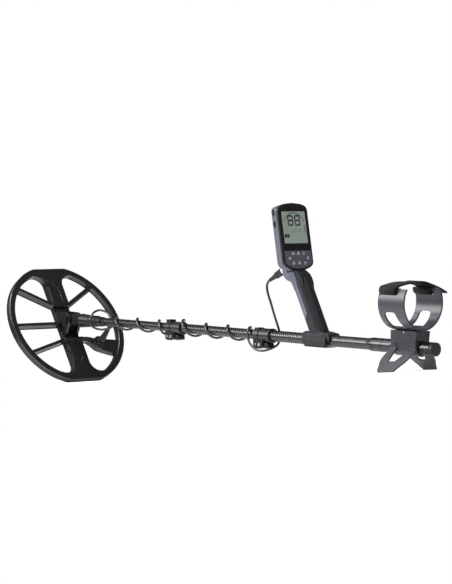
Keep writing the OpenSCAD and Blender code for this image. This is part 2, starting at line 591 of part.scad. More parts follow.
module armrest_cuff() color("#63646c") on_shaft() difference() {
    cross(arm_x, arm_end) difference() {
        translate([0, cuff_z]) circle(cuff_r);
        translate([0, cuff_z]) circle(cuff_r - cuff_t);
        translate([-60, cuff_top]) square([120, 60]);
    }
    for (s = [0, 1]) mirror([0, s, 0]) {
        side(20, 60) polygon([[arm_x + 12, 35], [arm_x + 44, 35], [arm_x + 40, 60], [arm_x + 36, 63], [arm_x + 16, 63],
            [arm_x + 12, 59]]);
        translate([strap_x0 - 1, 30, slot_lo]) cube([strap_x1 - strap_x0 + 2, 30, slot_hi - slot_lo]);
    }
    translate([arm_x + 20, 0, 20]) cylinder(h = 20, r = 2.6);
    translate([arm_end - 20, 0, 20]) cylinder(h = 20, r = 2.6);
}
module armrest_screws() color("#c9cacd") on_shaft() {
    for (x = [arm_x + 20, arm_end - 20]) translate([x, 0, 30.1]) cylinder(h = 5, r = 2.5);
    for (s = [0, 1]) mirror([0, s, 0]) across(arm_x + 33.5, 27.4, plate_y + 0.05, plate_y + 1.2, 1.6);
}
bar_y = sqrt(pow(cuff_r - cuff_t / 2, 2) - pow(101.2 - cuff_z, 2));
module strap() color("#101012") on_shaft() difference() {
    union() {
        cross(strap_x0, strap_x1) intersection() {
            difference() {
                translate([0, -29.3]) circle(144.8);
                translate([0, -29.3]) circle(141.6);
            }
            translate([-bar_y, 90]) square([2 * bar_y, 40]);
        }
        for (s = [-1, 1]) cross(strap_x0, strap_x1) translate([s * bar_y, 101.2]) circle(7);
        cross(strap_x0 + 0.4, strap_x1 - 0.4) polygon([[bar_y - 6, 108.6], [bar_y - 3, 110],
            [bar_y + 12, 107.2], [82, 96.5], [80, 94], [bar_y + 11, 103.4], [bar_y + 1, 105.6]]);
    }
    for (s = [-1, 1]) cross(strap_x0 - 1, strap_x1 + 1)
        translate([s * bar_y - 3.9, slot_hi - 0.5]) square([7.8, cuff_top - slot_hi + 1]);
}

coil_shell();
skid_cover();
transmit_winding();
receive_winding();
coil_boot();
coil_lead();
yoke();
pivot_washers();
pivot_bolt();
hand_nut();
lower_tube();
lower_plug();
lower_wrap();
middle_tube();
front_cam_collar();
front_cam_pins();
middle_plug();
middle_wrap();
front_cam_lever();
upper_tube();
rear_cam_collar();
rear_cam_pins();
grip_shell_left();
grip_shell_right();
grip_saddle();
saddle_cap();
case_screws();
battery_cell();
pod_front_case();
pod_gasket();
pod_rear_case();
display_window();
display_module();
circuit_board();
keypad_panel();
keypad_mat();
speaker();
coil_socket();
headphone_socket();
cable_tail();
cable_plug();
sleeve_flare();
rear_sleeve();
end_cap();
rear_cam_lever();
key_1();
key_2();
key_3();
key_4();
key_5();
key_6();
key_7();
key_8();
power_button();
side_button();
armrest_stand();
armrest_cuff();
armrest_screws();
strap();
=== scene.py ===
import math

import bpy
from mathutils import Matrix, Vector


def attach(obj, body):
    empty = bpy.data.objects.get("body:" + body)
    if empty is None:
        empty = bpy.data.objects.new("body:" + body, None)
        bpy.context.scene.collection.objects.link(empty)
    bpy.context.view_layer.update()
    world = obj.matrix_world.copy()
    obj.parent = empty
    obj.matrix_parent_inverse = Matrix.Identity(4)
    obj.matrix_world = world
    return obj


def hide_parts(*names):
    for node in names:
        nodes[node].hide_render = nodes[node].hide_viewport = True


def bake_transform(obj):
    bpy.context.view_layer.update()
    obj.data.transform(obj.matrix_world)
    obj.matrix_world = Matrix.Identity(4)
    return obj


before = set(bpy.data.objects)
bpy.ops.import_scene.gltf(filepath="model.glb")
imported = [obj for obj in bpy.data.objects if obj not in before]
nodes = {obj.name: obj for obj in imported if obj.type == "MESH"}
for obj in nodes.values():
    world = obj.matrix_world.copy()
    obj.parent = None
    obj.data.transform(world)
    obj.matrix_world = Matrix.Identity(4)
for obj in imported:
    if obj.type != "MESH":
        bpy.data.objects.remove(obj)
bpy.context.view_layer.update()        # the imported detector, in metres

print("frame loaded:", len(nodes), "nodes")

# Shaft millimetres to scene metres: X back along the shaft from the coil pivot, Y to the user's right, Z up
placing = {
    "lean": 5.184363418506849,
    "shiftX": -493.8307876498218,
    "liftZ": 133.27330169962065,
    "podCentre": (707.3, 0, 206.4),
    "podLean": 11,
    "gripFoot": (773.2, 0, 26),
    "gripLean": 28.6,
}


def turnY(degrees):
    return Matrix.Rotation(math.radians(degrees), 4, "Y")


metre = Matrix.Scale(0.001, 4)
onShaft = metre @ Matrix.Translation((placing["shiftX"], 0, placing["liftZ"])) @ turnY(placing["lean"])
onPod = onShaft @ Matrix.Translation(placing["podCentre"]) @ turnY(-placing["podLean"])
onGrip = onShaft @ Matrix.Translation(placing["gripFoot"]) @ turnY(-placing["gripLean"])

# Camera: behind the user's left shoulder, far back with a long lens
view = {
    "spot": (3709.3, -2683.1, 275.4),
    "right": (0.6422, 0.7665, 0.005),
    "ahead": (-0.7655, 0.6417, -0.0473),
    "lens": 132.95,
}


def makeCamera():
    data = bpy.data.cameras.new("camera")
    data.sensor_width = 36
    data.lens = view["lens"]
    data.clip_end = 60
    camera = bpy.data.objects.new("camera", data)
    bpy.context.scene.collection.objects.link(camera)
    turn = turnY(placing["lean"]).to_3x3()
    back = -(turn @ Vector(view["ahead"])).normalized()
    right = turn @ Vector(view["right"])
    right = (right - right.dot(back) * back).normalized()
    up = back.cross(right)
    facing = Matrix((right, up, back)).transposed().to_4x4()
    camera.matrix_world = Matrix.Translation(onShaft @ Vector(view["spot"])) @ facing
    bpy.context.scene.camera = camera


makeCamera()
print("camera placed")


# sRGB hex to the linear values that sockets take
def linear(hexColour):
    parts = [int(hexColour[i:i + 2], 16) / 255 for i in (1, 3, 5)]
    return [p / 12.92 if p <= 0.04045 else ((p + 0.055) / 1.055) ** 2.4 for p in parts] + [1]


# Adds one node: its own settings, fixed socket values, and links from nodes or (node, output) pairs
def addNode(tree, kind, settings=None, values=None, links=None):
    node = tree.nodes.new(kind)
    for key, value in (settings or {}).items():
        setattr(node, key, value)
    for key, value in (values or {}).items():
        node.inputs[key].default_value = value
    for key, source in (links or {}).items():
        source, output = source if isinstance(source, tuple) else (source, 0)
        tree.links.new(source.outputs[output], node.inputs[key])
    return node


def startMaterial(name):
    material = bpy.data.materials.new(name)
    material.use_nodes = True
    material.node_tree.nodes.clear()
    return material, material.node_tree


def closeMaterial(tree, values, links):
    shader = addNode(tree, "ShaderNodeBsdfPrincipled", None, values, links)
    addNode(tree, "ShaderNodeOutputMaterial", links={"Surface": shader})


# Moulded plastic: an even matt skin with spark-eroded grain, a little patchy in colour and sheen. Its
# edges are softened, so that each one catches a thin line of light.
moulding = {"patch": 60, "grain": 0.9, "depth": 0.05, "edge": 0.7, "specular": 0.35}


def mouldedPlastic(name, look):
    look = moulding | look
    material, tree = startMaterial(name)
    place = addNode(tree, "ShaderNodeTexCoord")
    patch = addNode(tree, "ShaderNodeTexNoise",
                    values={"Scale": 1000 / look["patch"], "Detail": 3, "Roughness": 0.55},
                    links={"Vector": (place, "Object")})
    grain = addNode(tree, "ShaderNodeTexNoise",
                    values={"Scale": 1000 / look["grain"], "Detail": 2, "Roughness": 0.55},
                    links={"Vector": (place, "Object")})
    colour = addNode(tree, "ShaderNodeMix", {"data_type": "RGBA"},
                     {6: linear(look["dark"]), 7: linear(look["light"])}, {0: patch})
    rough = addNode(tree, "ShaderNodeMapRange", values={3: look["rough"] - 0.06, 4: look["rough"] + 0.06},
                    links={0: grain})
    edge = addNode(tree, "ShaderNodeBevel", {"samples": 6}, {"Radius": look["edge"] / 1000})
    bump = addNode(tree, "ShaderNodeBump", values={"Strength": 0.6, "Distance": look["depth"] / 1000},
                   links={"Height": grain, "Normal": edge})
    closeMaterial(tree, {"IOR": 1.5, "Specular IOR Level": look["specular"]},
                  {"Base Color": (colour, 2), "Roughness": rough, "Normal": bump})
    return material


plastics = {
    # Charcoal, satin on the ribs
    "coil nylon": {"dark": "#09090b", "light": "#0f0f12", "rough": 0.3, "grain": 1.1, "edge": 1.3,
                   "specular": 0.6},
    # Near black, with a scuffed sheen
    "skid polycarbonate": {"dark": "#070708", "light": "#0c0c0e", "rough": 0.38, "grain": 1.4},
    # Dark grey, satin
    "lock nylon": {"dark": "#101013", "light": "#16161a", "rough": 0.34},
    "lever nylon": {"dark": "#0c0c0f", "light": "#121216", "rough": 0.36},
    # Soft black over-moulding
    "grip back rubber": {"dark": "#0b0b0d", "light": "#111114", "rough": 0.42, "depth": 0.06},
    "saddle nylon": {"dark": "#1a1b20", "light": "#222329", "rough": 0.38},
    "pod front ABS": {"dark": "#101114", "light": "#16171a", "rough": 0.34},
    # Cool mid grey
    "pod rear ABS": {"dark": "#4a4c56", "light": "#545661", "rough": 0.4},
    "keypad silicone": {"dark": "#45464e", "light": "#4e4f58", "rough": 0.5},
    "key silicone": {"dark": "#08090b", "light": "#0d0e11", "rough": 0.42},
    # Blue-grey, satin, darkening away from the light
    "armrest nylon": {"dark": "#222329", "light": "#2b2c33", "rough": 0.36},
    "cuff nylon": {"dark": "#2d2e36", "light": "#373841", "rough": 0.36},
    "black rubber": {"dark": "#08080a", "light": "#0d0d10", "rough": 0.5, "depth": 0.07},
    "board epoxy": {"dark": "#174a2b", "light": "#1f5a35", "rough": 0.4},
    "cell wrap": {"dark": "#336542", "light": "#3f7650", "rough": 0.35},
    "lcd segment": {"dark": "#15181a", "light": "#1d2022", "rough": 0.4},
    "icon print": {"dark": "#d8d8de", "light": "#ececf0", "rough": 0.5},
}
finish = {name: mouldedPlastic(name, look) for name, look in plastics.items()}

# Grip shells with painted light and shade: the front is painted a cool light grey as the lit face, and the
# rear is painted black as shade, behind a sharp line that stands for the ridge. The line runs up the grip in
# two straight parts, each from (height, distance) to (height, distance).
gripPaintedLight = {
    "front": "#535562", "frontPatch": "#5d5f6c", "back": "#17181c", "rough": (0.27, 0.41),
    "slant": ((27, -1), (110, 5)), "sweep": ((10, -17), (27, -1)),
}


def paintedLightGrip(name):
    material, tree = startMaterial(name)
    foot = onGrip @ Vector((0, 0, 0))
    place = addNode(tree, "ShaderNodeTexCoord")
    turned = addNode(tree, "ShaderNodeVectorRotate", {"rotation_type": "Y_AXIS"},
                     {"Angle": math.radians(placing["gripLean"] - placing["lean"]), "Center": foot},
                     {"Vector": (place, "Object")})
    axes = addNode(tree, "ShaderNodeSeparateXYZ", links={0: turned})
    reach = []
    for (low, start), (high, end) in (gripPaintedLight["slant"], gripPaintedLight["sweep"]):
        heights = {1: foot.z + low / 1000, 2: foot.z + high / 1000}
        distances = {3: foot.x + start / 1000, 4: foot.x + end / 1000}
        reach.append(addNode(tree, "ShaderNodeMapRange", values=heights | distances, links={0: (axes, 2)}))
    line = addNode(tree, "ShaderNodeMath", {"operation": "MINIMUM"}, links={0: reach[0], 1: reach[1]})
    # Behind the line the grip is painted black shade; in front it is painted a lit light grey as a highlight
    paintedShadeMask = addNode(tree, "ShaderNodeMath", {"operation": "GREATER_THAN"}, links={0: axes, 1: line})
    patch = addNode(tree, "ShaderNodeTexNoise",
                    values={"Scale": 1000 / moulding["patch"], "Detail": 3, "Roughness": 0.55},
                    links={"Vector": (place, "Object")})
    front = addNode(tree, "ShaderNodeMix", {"data_type": "RGBA"},
                    {6: linear(gripPaintedLight["front"]), 7: linear(gripPaintedLight["frontPatch"])}, {0: patch})
    colour = addNode(tree, "ShaderNodeMix", {"data_type": "RGBA"}, {7: linear(gripPaintedLight["back"])},
                     {0: paintedShadeMask, 6: (front, 2)})
    grain = addNode(tree, "ShaderNodeTexNoise",
                    values={"Scale": 1000 / moulding["grain"], "Detail": 2, "Roughness": 0.55},
                    links={"Vector": (place, "Object")})
    low, high = gripPaintedLight["rough"]
    rough = addNode(tree, "ShaderNodeMapRange", values={3: low, 4: high}, links={0: grain})
    edge = addNode(tree, "ShaderNodeBevel", {"samples": 6}, {"Radius": moulding["edge"] / 1000})
    bump = addNode(tree, "ShaderNodeBump", values={"Strength": 0.6, "Distance": moulding["depth"] / 1000},
                   links={"Height": grain, "Normal": edge})
    closeMaterial(tree, {"Specular IOR Level": 0.4},
                  {"Base Color": (colour, 2), "Roughness": rough, "Normal": bump})
    return material


finish["grip painted light and shade"] = paintedLightGrip("grip painted light and shade")


# Turned metal: bright, with fine turning marks 1.2 mm across
def turnedMetal(name, tone, rough):
    material, tree = startMaterial(name)
    place = addNode(tree, "ShaderNodeTexCoord")
    marks = addNode(tree, "ShaderNodeTexNoise", values={"Scale": 1000 / 1.2, "Detail": 4, "Roughness": 0.55},
                    links={"Vector": (place, "Object")})
    colour = addNode(tree, "ShaderNodeMix", {"data_type": "RGBA"},
                     {6: linear(tone), 7: linear("#e4e4e8")}, {0: marks})
    sheen = addNode(tree, "ShaderNodeMapRange", values={3: rough, 4: rough + 0.15}, links={0: marks})
    bump = addNode(tree, "ShaderNodeBump", values={"Strength": 0.3, "Distance": 0.00002},
                   links={"Height": marks})
    closeMaterial(tree, {"Metallic": 1}, {"Base Color": (colour, 2), "Roughness": sheen, "Normal": bump})
    return material


finish["pin steel"] = turnedMetal("pin steel", "#b9b9be", 0.2)
finish["socket aluminium"] = turnedMetal("socket aluminium", "#a4a7af", 0.28)
finish["winding copper"] = turnedMetal("winding copper", "#b5652a", 0.3)

# Lacquered carbon cloth: 2 by 2 twill whose tows run round and along the tube. Its real line steps along
# the tube about every 4.7 mm, and is drawn at 6 mm, four tows of 1.5 mm, so that the slanting ticks show.
carbon = {
    "tow": 1.5, "repeat": 4,
    # The weft tows are painted lighter than the warp as a painted sheen, for the way fibres running round the
    # tube catch the light. Each tow darkens to the gap colour at its edges.
    "warp": "#050506", "weftPaintedSheen": "#131316", "gap": "#020202",
    "shine": (0.05, 0.8), "rough": (0.5, 0.3),
}


def carbonTwill(name, radius):
    material, tree = startMaterial(name)
    shaftX, shaftZ = placing["shiftX"] / 1000, placing["liftZ"] / 1000
    place = addNode(tree, "ShaderNodeTexCoord")
    levelled = addNode(tree, "ShaderNodeVectorRotate", {"rotation_type": "Y_AXIS"},
                       {"Angle": -math.radians(placing["lean"]), "Center": (shaftX, 0, shaftZ)},
                       {"Vector": (place, "Object")})
    axes = addNode(tree, "ShaderNodeSeparateXYZ", links={0: levelled})
    up = addNode(tree, "ShaderNodeMath", {"operation": "SUBTRACT"}, {1: shaftZ}, {0: (axes, 2)})
    angle = addNode(tree, "ShaderNodeMath", {"operation": "ARCTAN2"}, links={0: (axes, 1), 1: up})
    repeats = round(2 * math.pi * radius / carbon["tow"] / carbon["repeat"])
    around = repeats * carbon["repeat"] / (2 * math.pi)
    u = addNode(tree, "ShaderNodeMath", {"operation": "MULTIPLY"}, {1: around}, {0: angle})
    v = addNode(tree, "ShaderNodeMath", {"operation": "MULTIPLY"}, {1: 1000 / carbon["tow"]}, {0: axes})
    cells, crowns = [], []
    for way in (u, v):
        cells.append(addNode(tree, "ShaderNodeMath", {"operation": "FLOOR"}, links={0: way}))
        part = addNode(tree, "ShaderNodeMath", {"operation": "FRACT"}, links={0: way})
        turn = addNode(tree, "ShaderNodeMath", {"operation": "MULTIPLY"}, {1: math.pi}, {0: part})
        crowns.append(addNode(tree, "ShaderNodeMath", {"operation": "SINE"}, links={0: turn}))
    step = addNode(tree, "ShaderNodeMath", {"operation": "ADD"}, links={0: cells[0], 1: cells[1]})
    share = addNode(tree, "ShaderNodeMath", {"operation": "DIVIDE"}, {1: carbon["repeat"]}, {0: step})
    phase = addNode(tree, "ShaderNodeMath", {"operation": "FRACT"}, links={0: share})
    over = addNode(tree, "ShaderNodeMath", {"operation": "LESS_THAN"}, {1: 0.5}, {0: phase})
    crown = addNode(tree, "ShaderNodeMix", links={0: over, 2: crowns[1], 3: crowns[0]})
    tows = addNode(tree, "ShaderNodeMix", {"data_type": "RGBA"},
                   {6: linear(carbon["weftPaintedSheen"]), 7: linear(carbon["warp"])}, {0: over})
    fullness = addNode(tree, "ShaderNodeMath", {"operation": "POWER"}, {1: 0.6}, {0: crown})
    colour = addNode(tree, "ShaderNodeMix", {"data_type": "RGBA"}, {6: linear(carbon["gap"])},
                     {0: fullness, 7: (tows, 2)})
    shine = addNode(tree, "ShaderNodeMapRange", values={3: carbon["shine"][1], 4: carbon["shine"][0]},
                    links={0: over})
    rough = addNode(tree, "ShaderNodeMapRange", values={3: carbon["rough"][1], 4: carbon["rough"][0]},
                    links={0: over})
    bump = addNode(tree, "ShaderNodeBump", values={"Strength": 0.4, "Distance": 0.00005},
                   links={"Height": crown})
    closeMaterial(tree, {"Coat Weight": 0.08, "Coat Roughness": 0.12},
                  {"Base Color": (colour, 2), "Specular IOR Level": shine, "Roughness": rough,
                   "Normal": bump})
    return material


tubeRadii = {"lower carbon": 8.5, "middle carbon": 9.5, "upper carbon": 10.5, "sleeve carbon": 12.25}
for name, radius in tubeRadii.items():
    finish[name] = carbonTwill(name, radius)


# Polyurethane cable jacket: smooth and slightly waxy, so it carries a thin bright line. Its colour
# wavers over 14 mm, its sheen over 2.5 mm and its surface over 1.5 mm.
def cableJacket(name):
    material, tree = startMaterial(name)
    place = addNode(tree, "ShaderNodeTexCoord")
    waver, patch, ripple = (
        addNode(tree, "ShaderNodeTexNoise", values={"Scale": 1000 / size, "Detail": 3, "Roughness": 0.55},
                links={"Vector": (place, "Object")})
        for size in (14, 2.5, 1.5))
    colour = addNode(tree, "ShaderNodeMix", {"data_type": "RGBA"},
                     {6: linear("#070708"), 7: linear("#0d0d0f")}, {0: waver})
    rough = addNode(tree, "ShaderNodeMapRange", values={3: 0.32, 4: 0.46}, links={0: patch})
    bump = addNode(tree, "ShaderNodeBump", values={"Strength": 0.4, "Distance": 0.00003},
                   links={"Height": ripple})
    closeMaterial(tree, {"IOR": 1.5, "Specular IOR Level": 0.6, "Coat Weight": 0.15, "Coat Roughness": 0.25},
                  {"Base Color": (colour, 2), "Roughness": rough, "Normal": bump})
    return material


finish["cable jacket"] = cableJacket("cable jacket")


# Woven nylon strap: near black, with ribs across the width 1.6 mm apart and hardly any sheen
def wovenNylon(name):
    material, tree = startMaterial(name)
    place = addNode(tree, "ShaderNodeTexCoord")
    ribs = addNode(tree, "ShaderNodeTexWave", {"bands_direction": "X"},
                   {"Scale": 1000 / 1.6 / math.pi, "Distortion": 1.2, "Detail": 2},
                   {"Vector": (place, "Object")})
    fuzz = addNode(tree, "ShaderNodeTexNoise", values={"Scale": 1000 / 0.8, "Detail": 3, "Roughness": 0.55},
                   links={"Vector": (place, "Object")})
    colour = addNode(tree, "ShaderNodeMix", {"data_type": "RGBA"},
                     {6: linear("#040405"), 7: linear("#0d0d0f")}, {0: (ribs, 1)})
    rough = addNode(tree, "ShaderNodeMapRange", values={3: 0.62, 4: 0.85}, links={0: fuzz})
    bump = addNode(tree, "ShaderNodeBump", values={"Strength": 0.6, "Distance": 0.00025},
                   links={"Height": (ribs, 1)})
    closeMaterial(tree, {"Sheen Weight": 0.05, "Sheen Roughness": 0.5, "Specular IOR Level": 0.2},
                  {"Base Color": (colour, 2), "Roughness": rough, "Normal": bump})
    return material


finish["woven nylon"] = wovenNylon("woven nylon")


# Hard-coated window: black print under clear, polished acrylic, so the border is the glossiest black
def coatedAcrylic(name):
    material, tree = startMaterial(name)
    place = addNode(tree, "ShaderNodeTexCoord")
    haze = addNode(tree, "ShaderNodeTexNoise", values={"Scale": 1000 / 25, "Detail": 3, "Roughness": 0.55},
                   links={"Vector": (place, "Object")})
    rough = addNode(tree, "ShaderNodeMapRange", values={3: 0.2, 4: 0.28}, links={0: haze})
    closeMaterial(tree,
                  {"Base Color": linear("#060608"), "IOR": 1.49, "Coat Weight": 0.3, "Coat Roughness": 0.08},
                  {"Roughness": rough})
    return material


finish["window print"] = coatedAcrylic("window print")


# Reflective LCD: grey-green, a little uneven, under glass
def lcdGlass(name):
    material, tree = startMaterial(name)
    place = addNode(tree, "ShaderNodeTexCoord")
    cloud, dots = (
        addNode(tree, "ShaderNodeTexNoise", values={"Scale": 1000 / size, "Detail": 3, "Roughness": 0.55},
                links={"Vector": (place, "Object")})
        for size in (40, 0.6))
    colour = addNode(tree, "ShaderNodeMix", {"data_type": "RGBA"},
                     {6: linear("#78827b"), 7: linear("#909b93")}, {0: cloud})
    bump = addNode(tree, "ShaderNodeBump", values={"Strength": 0.2, "Distance": 0.00001},
                   links={"Height": dots})
    closeMaterial(tree, {"IOR": 1.5, "Coat Weight": 0.4, "Coat Roughness": 0.1, "Roughness": 0.45},
                  {"Base Color": (colour, 2), "Normal": bump})
    return material


finish["lcd glass"] = lcdGlass("lcd glass")
print("materials made:", len(finish))


def addPiece(name, points, faces, place, material, body, sharp=38):
    mesh = bpy.data.meshes.new(name)
    mesh.from_pydata([place @ Vector(p) for p in points], [], faces)
    mesh.validate()
    mesh.shade_smooth()
    mesh.set_sharp_from_angle(angle=math.radians(sharp))
    piece = bpy.data.objects.new(name, mesh)
    bpy.context.scene.collection.objects.link(piece)
    mesh.materials.append(finish[material])
    if body:
        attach(piece, body)
    return piece


# Flat shapes given as outlines in Y and Z, raised along X from x0 to x1
def prisms(outlines, x0, x1):
    points, faces = [], []
    for outline in outlines:
        start, count = len(points), len(outline)
        points += [(x, y, z) for x in (x0, x1) for y, z in outline]
        faces.append([start + i for i in reversed(range(count))])
        faces.append([start + count + i for i in range(count)])
        for i in range(count):
            a, b = start + i, start + (i + 1) % count
            faces.append([a, b, b + count, a + count])
    return points, faces


def smoothRoute(points, steps):
    line = []
    for i in range(len(points) - 1):
        near = [min(max(j, 0), len(points) - 1) for j in (i - 1, i, i + 1, i + 2)]
        before, a, b, after = (Vector(points[j]) for j in near)
        for s in range(steps):
            t = s / steps
            line.append(0.5 * (2 * a + (b - before) * t + (2 * before - 5 * a + 4 * b - after) * t * t
                               + (3 * a - before - 3 * b + after) * t ** 3))
    return line + [Vector(points[-1])]


def tubeAlong(line, radius, sides):
    points, faces = [], []
    across = Vector((0.3, 0.2, 1))
    for i, spot in enumerate(line):
        ahead = (line[min(i + 1, len(line) - 1)] - line[max(i - 1, 0)]).normalized()
        across = (across - across.dot(ahead) * ahead).normalized()
        beside = ahead.cross(across)
        points += [spot + radius * (math.cos(a) * across + math.sin(a) * beside)
                   for a in (2 * math.pi * k / sides for k in range(sides))]
    for i in range(len(line) - 1):
        for k in range(sides):
            a, b = i * sides + k, i * sides + (k + 1) % sides
            faces.append([a, b, b + sides, a + sides])
    faces.append(list(reversed(range(sides))))
    faces.append([(len(line) - 1) * sides + k for k in range(sides)])
    return points, faces


cable = {
    "diameter": 4.5,
    "sides": 16,
    "steps": 5,
    "bootTip": ((29, 79, -17), (9.1, 15, 30.1)),
    "leadEnd": ((137.8, 12.4, -0.2), (11.5, 0, 12.4)),
    "frontLoop": ((337, 18.5, 0), (10, 0.2, 8)),
    "rearLoop": ((647, 17.2, -1), (-1, 0.4, 10)),
    "plugMouth": ((638, 0, 105), (37, 0, 18.8)),
}


def leave(spot, way):
    way = Vector(way).normalized()
    return [Vector(spot), Vector(spot) + 3.6 * way]


def arrive(spot, way):
    way = Vector(way).normalized()
    return [Vector(spot) - 3.6 * way, Vector(spot)]


# Turns round the shaft: the angle is 0 on top and grows towards the user's left
def turns(start, pitch, radius, first, last):
    return [(start + pitch * a / 360, -radius * math.sin(math.radians(a)), radius * math.cos(math.radians(a)))
            for a in range(first, last + 1, 45)]


routes = {
    "coilLead": leave(*cable["bootTip"])
    + [(34.5, 79, -6.5), (43, 70, 3), (55, 58, 10), (69, 41, 16), (82, 23, 20), (92, 4, 23), (98, -15, 18.5),
       (101, -26, 5), (105, -23, -9.5), (113, -8, -16), (125, 8, -12.5)] + arrive(*cable["leadEnd"]),
    "lowerWrap": leave(*cable["leadEnd"]) + turns(156, 72, 12.4, -45, 810)
    + [(322, -10, -10), (325.5, 0, -15), (327.5, 10, -15), (330, 16.5, -8.5)] + arrive(*cable["frontLoop"]),
    "middleWrap": leave(*cable["frontLoop"])
    + [(350, 17.5, 6.5), (363, 13.5, 11.5), (373, 6, 16), (380, -3, 16.5), (388, -12, 11)]
    + turns(382, 66.5, 13.2, 90, 1080)
    + [(588, -11.5, 9), (592, -15.5, -2), (598, -17, -13), (608, -17.5, -22), (621, -17, -27.5),
       (633, -15, -28.5), (642, -9.5, -26.5), (648, 1, -22), (650, 11, -15.5)] + arrive(*cable["rearLoop"]),
    "cableTail": leave(*cable["rearLoop"])
    + [(645.8, 16.8, 10), (644.5, 13, 22), (642.5, 7, 40), (639, 2, 61), (632.5, 0, 79), (629.5, 0, 91),
       (630.8, 0, 98.6)] + arrive(*cable["plugMouth"]),
}
cableParts = {
    "coilLead": {"node": "coil_lead", "between": ("coil", "lower_shaft"), "length": 0.226},
    "lowerWrap": {"node": "lower_wrap", "between": ("lower_shaft", "middle_shaft"), "length": 0.320},
    "middleWrap": {"node": "middle_wrap", "between": ("middle_shaft", "upper_shaft"), "length": 0.506},
    "cableTail": {"node": "cable_tail", "between": ("upper_shaft",), "length": 0.114},
}


def makeCables():
    for name, part in cableParts.items():
        line = smoothRoute(routes[name], cable["steps"])
        points, faces = tubeAlong(line, cable["diameter"] / 2, cable["sides"])
        bodies = part["between"]
        rides = bodies[0] if len(bodies) == 1 else None
        piece = addPiece(name, points, faces, onShaft, "cable jacket", rides)
        if len(bodies) == 2:
            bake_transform(piece)
        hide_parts(part["node"])


makeCables()
print("cable made")

display = {
    "lcd": (-29.3, 29.3, -30.4, 30.4),
    "window": (-32, 32, -43, 34),
    "digits": ((-15.6, -1.4), (1.8, 16.0)),
    "digitRise": (3.0, 23.0),
    "stroke": 2.7,
    "arcRadius": 26.5,
}


def oblong(y0, y1, z0, z1):
    return [(y0, z0), (y1, z0), (y1, z1), (y0, z1)]


# Ring sector as one outline, angles in degrees from +Y
def ringPart(cy, cz, inner, outer, first, last, count=24):
    angles = [math.radians(first + (last - first) * i / count) for i in range(count + 1)]
    return ([(cy + outer * math.cos(a), cz + outer * math.sin(a)) for a in angles]
            + [(cy + inner * math.cos(a), cz + inner * math.sin(a)) for a in reversed(angles)])


def sevenSegment(y0, y1, z0, z1, t):
    gap, middle = 0.35, (z0 + z1) / 2
    h = t / 2
    flats, uprights = [], []
    for z in (z0 + h, middle, z1 - h):
        bar = [(y0 + gap, z), (y0 + h + gap, z + h), (y1 - h - gap, z + h), (y1 - gap, z),
               (y1 - h - gap, z - h), (y0 + h + gap, z - h)]
        flats.append([(min(max(y, y0 + h), y1 - h), z) for y, z in bar])
    for y in (y0 + h, y1 - h):
        for a, b in ((z0 + h, middle), (middle, z1 - h)):
            uprights.append([(y, a + gap), (y + h, a + h + gap), (y + h, b - h - gap), (y, b - gap),
                             (y - h, b - h - gap), (y - h, a + h + gap)])
    return flats + uprights


def makeDisplay():
    y0, y1, z0, z1 = display["window"]
    a0, a1, b0, b1 = display["lcd"]
    surround = [oblong(y0, a0, z0, z1), oblong(a1, y1, z0, z1),
                oblong(a0, a1, z0, b0), oblong(a0, a1, b1, z1)]
    window = addPiece("windowSurround", *prisms(surround, -2.2, -0.2), onPod, "window print", "upper_shaft")
    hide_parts("display_window")
    face = prisms([oblong(a0, a1, b0, b1)], -2.0, -0.7)
    glass = addPiece("lcdFace", *face, onPod, "lcd glass", "upper_shaft")
    shapes = []
    for left, right in display["digits"]:
        shapes += sevenSegment(left, right, *display["digitRise"], display["stroke"])
    arc = display["arcRadius"]
    shapes.append(ringPart(0.4, 1.6, arc - 0.9, arc, 18, 162, 40))
    shapes += [ringPart(0.4, 1.6, arc - 2.6, arc - 1.4, a, a + 3, 2) for a in range(24, 156, 9)]
    # Level bars on the left, a smile of small signs in the middle, two mode boxes and the bars on the right
    shapes += [oblong(-20.5, -19.3, -6.5 + 2.6 * i, -4.9 + 2.6 * i) for i in range(4)]
    shapes += [ringPart(y, -6.5, 2.1, 2.8, 200, 340, 10) for y in (-6.5, 7.5)]
    shapes += [[(-1.6, -5.2), (1.6, -5.2), (0, -2.4)], [(11.4, -3.6), (14.6, -3.6), (13, -6.4)]]
    shapes += [oblong(-27, -21.6, -19.5, -12.8), oblong(-20.6, -15.2, -19.5, -12.8)]
    shapes += [oblong(23.6, 26.4, -8 + 2.2 * i, -6.8 + 2.2 * i) for i in range(6)]
    marks = addPiece("lcdSegments", *prisms(shapes, -0.72, -0.62), onPod, "lcd segment", "upper_shaft", 20)


makeDisplay()

keySpots = [(-13.2, -49.5), (0, -49.5), (13.2, -49.5), (-23, -58.5), (23, -58.5),
            (-14.5, -68), (0, -68), (14.5, -68)]
keyFace = 0.9


# Each key carries a thin printed ring and its own plain sign
def makeKeyPrints():
    signs = [
        [[(-1.1, -0.9), (1.1, -0.9), (0, 1.1)]],
        [oblong(-1.1, 1.1, -0.3, 0.3), oblong(-0.3, 0.3, -1.1, 1.1)],
        [oblong(-1.1, 1.1, -0.3, 0.3)],
        [[(0.9, -1.1), (0.9, 1.1), (-1.1, 0)]],
        [[(-0.9, -1.1), (1.1, 0), (-0.9, 1.1)]],
        [oblong(-1.1, -0.4, -1.0, 1.0), oblong(0.4, 1.1, -1.0, 1.0)],
        [ringPart(0, 0, 0.6, 1.2, -50, 230, 12)],
        [[(-1.1, 0.9), (0, -1.1), (1.1, 0.9)]],
    ]
    for i, ((y, z), sign) in enumerate(zip(keySpots, signs), 1):
        outlines = [ringPart(y, z, 2.1, 2.8, 0, 180, 14), ringPart(y, z, 2.1, 2.8, 180, 360, 14)]
        outlines += [[(y + a, z + b) for a, b in part] for part in sign]
        printed = prisms(outlines, keyFace - 0.05, keyFace + 0.06)
        piece = addPiece("keyPrint_%d" % i, *printed, onPod, "icon print", "key_%d" % i)


